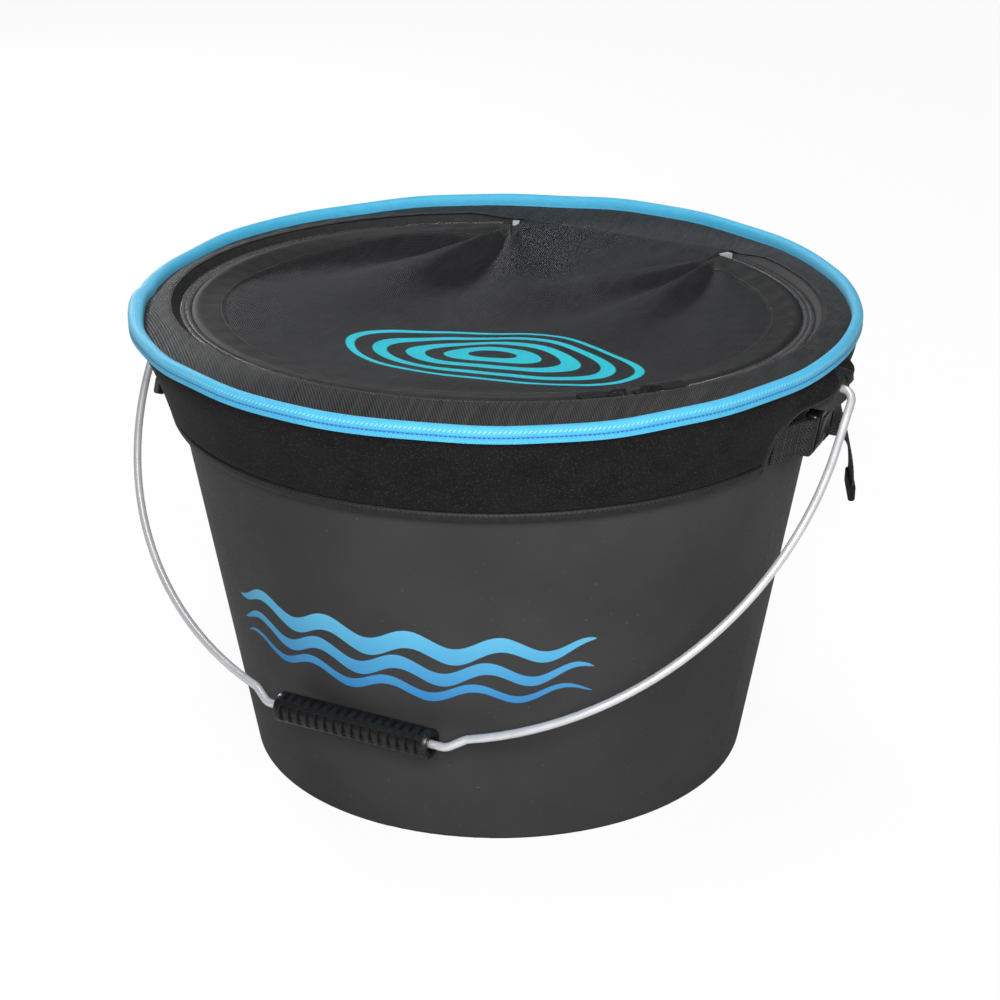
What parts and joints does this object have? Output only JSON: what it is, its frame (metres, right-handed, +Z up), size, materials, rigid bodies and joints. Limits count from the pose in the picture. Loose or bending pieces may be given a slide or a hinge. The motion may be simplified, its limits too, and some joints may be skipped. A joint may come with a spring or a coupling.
{
  "type": "bait bucket",
  "caption": "Round tapered plastic bait bucket with a wire bail, a ribbed grip and a soft zipped cover strapped over its rim.",
  "frame": {"origin": "middle of the base, on the surface that the bucket stands on", "axes": "+Z up, +X along the bail's axis through the right ear, -Y to the front where the bail rests, +Y to the lid's fold"},
  "size_m": [0.4252, 0.4, 0.2685],
  "materials": {
    "bucket_plastic": "satin moulded, faint scuffs",
    "galvanised_wire": "bright galvanised, drawn",
    "grip_plastic": "moulded, slightly glossy",
    "binding_tape": "ribbed woven tape",
    "panel_cloth": "coated woven polyester",
    "skirt_neoprene": "knit-faced neoprene",
    "hem_tape": "folded and stitched",
    "piping_plastic": "extruded",
    "zip_tape": "woven tape",
    "zip_coil": "nylon coil",
    "zip_metal": "black enamel",
    "stop_metal": "plain crimped",
    "webbing": "ribbed webbing",
    "buckle_plastic": "moulded acetal"
  },
  "bodies": {
    "bucket": {"bucket_shell": "bucket_plastic", "ring_panel": "panel_cloth", "rim_binding": "binding_tape", "piping_core": "piping_plastic", "skirt": "skirt_neoprene", "hem_band_front": "hem_tape", "hem_band_back": "hem_tape", "zip_outer_tape": "zip_tape", "zip_outer_teeth": "zip_coil", "zip_stop_right": "stop_metal", "arch_binding_right": "hem_tape", "anchor_strap_right": "webbing", "buckle_socket_right": "buckle_plastic", "rear_strap_right": "webbing", "zip_stop_left": "stop_metal", "arch_binding_left": "hem_tape", "anchor_strap_left": "webbing", "buckle_socket_left": "buckle_plastic", "rear_strap_left": "webbing"},
    "bail": {"bail_wire": "galvanised_wire"},
    "grip": {"grip": "grip_plastic"},
    "lid": {"lid_flap": "panel_cloth", "zip_inner_tape": "zip_tape", "zip_inner_teeth": "zip_coil"},
    "slider_right": {"zip_slider_right": "zip_metal"},
    "pull_right": {"zip_pull_right": "zip_metal"},
    "clip_right": {"buckle_clip_right": "buckle_plastic", "strap_tail_right": "webbing"},
    "slider_left": {"zip_slider_left": "zip_metal"},
    "pull_left": {"zip_pull_left": "zip_metal"},
    "clip_left": {"buckle_clip_left": "buckle_plastic", "strap_tail_left": "webbing"}
  },
  "joints": [
    {"name": "bail_swing", "type": "hinge", "parent": "bucket", "child": "bail", "pos_m": [0, 0, 0.2435], "axis": [-1, 0, 0], "range_deg": [0, 273.08]},
    {"name": "grip_spin", "type": "hinge", "parent": "bail", "child": "grip", "pos_m": [0, -0.16243, 0.0721], "axis": [1, 0, 0], "continuous": true},
    {"name": "lid_open", "type": "hinge", "parent": "bucket", "child": "lid", "pos_m": [0, 0.16335, 0.25298], "axis": [-1, 0, 0], "range_deg": [0, 90]},
    {"name": "zip_run_right", "type": "hinge", "parent": "lid", "child": "slider_right", "pos_m": [0, 0, 0.2582], "axis": [0, 0.0393, 0.9992], "range_deg": [0, 99.02]},
    {"name": "pull_flip_right", "type": "hinge", "parent": "slider_right", "child": "pull_right", "pos_m": [0.139, -0.10025, 0.26569], "axis": [0.8056, -0.5919, 0.0233], "range_deg": [0, 150]},
    {"name": "buckle_release_right", "type": "slide", "parent": "bucket", "child": "clip_right", "axis": [-0.0698, 0.9976, 0], "range_m": [0, 0.0092]},
    {"name": "zip_run_left", "type": "hinge", "parent": "lid", "child": "slider_left", "pos_m": [0, 0, 0.2582], "axis": [0, -0.0393, -0.9992], "range_deg": [0, 201.02]},
    {"name": "pull_flip_left", "type": "hinge", "parent": "slider_left", "child": "pull_left", "pos_m": [0.12717, -0.11484, 0.26626], "axis": [-0.747, 0.6644, -0.0261], "range_deg": [0, 150]},
    {"name": "buckle_release_left", "type": "slide", "parent": "bucket", "child": "clip_left", "axis": [0.0698, -0.9976, 0], "range_m": [0, 0.0092]}
  ]
}
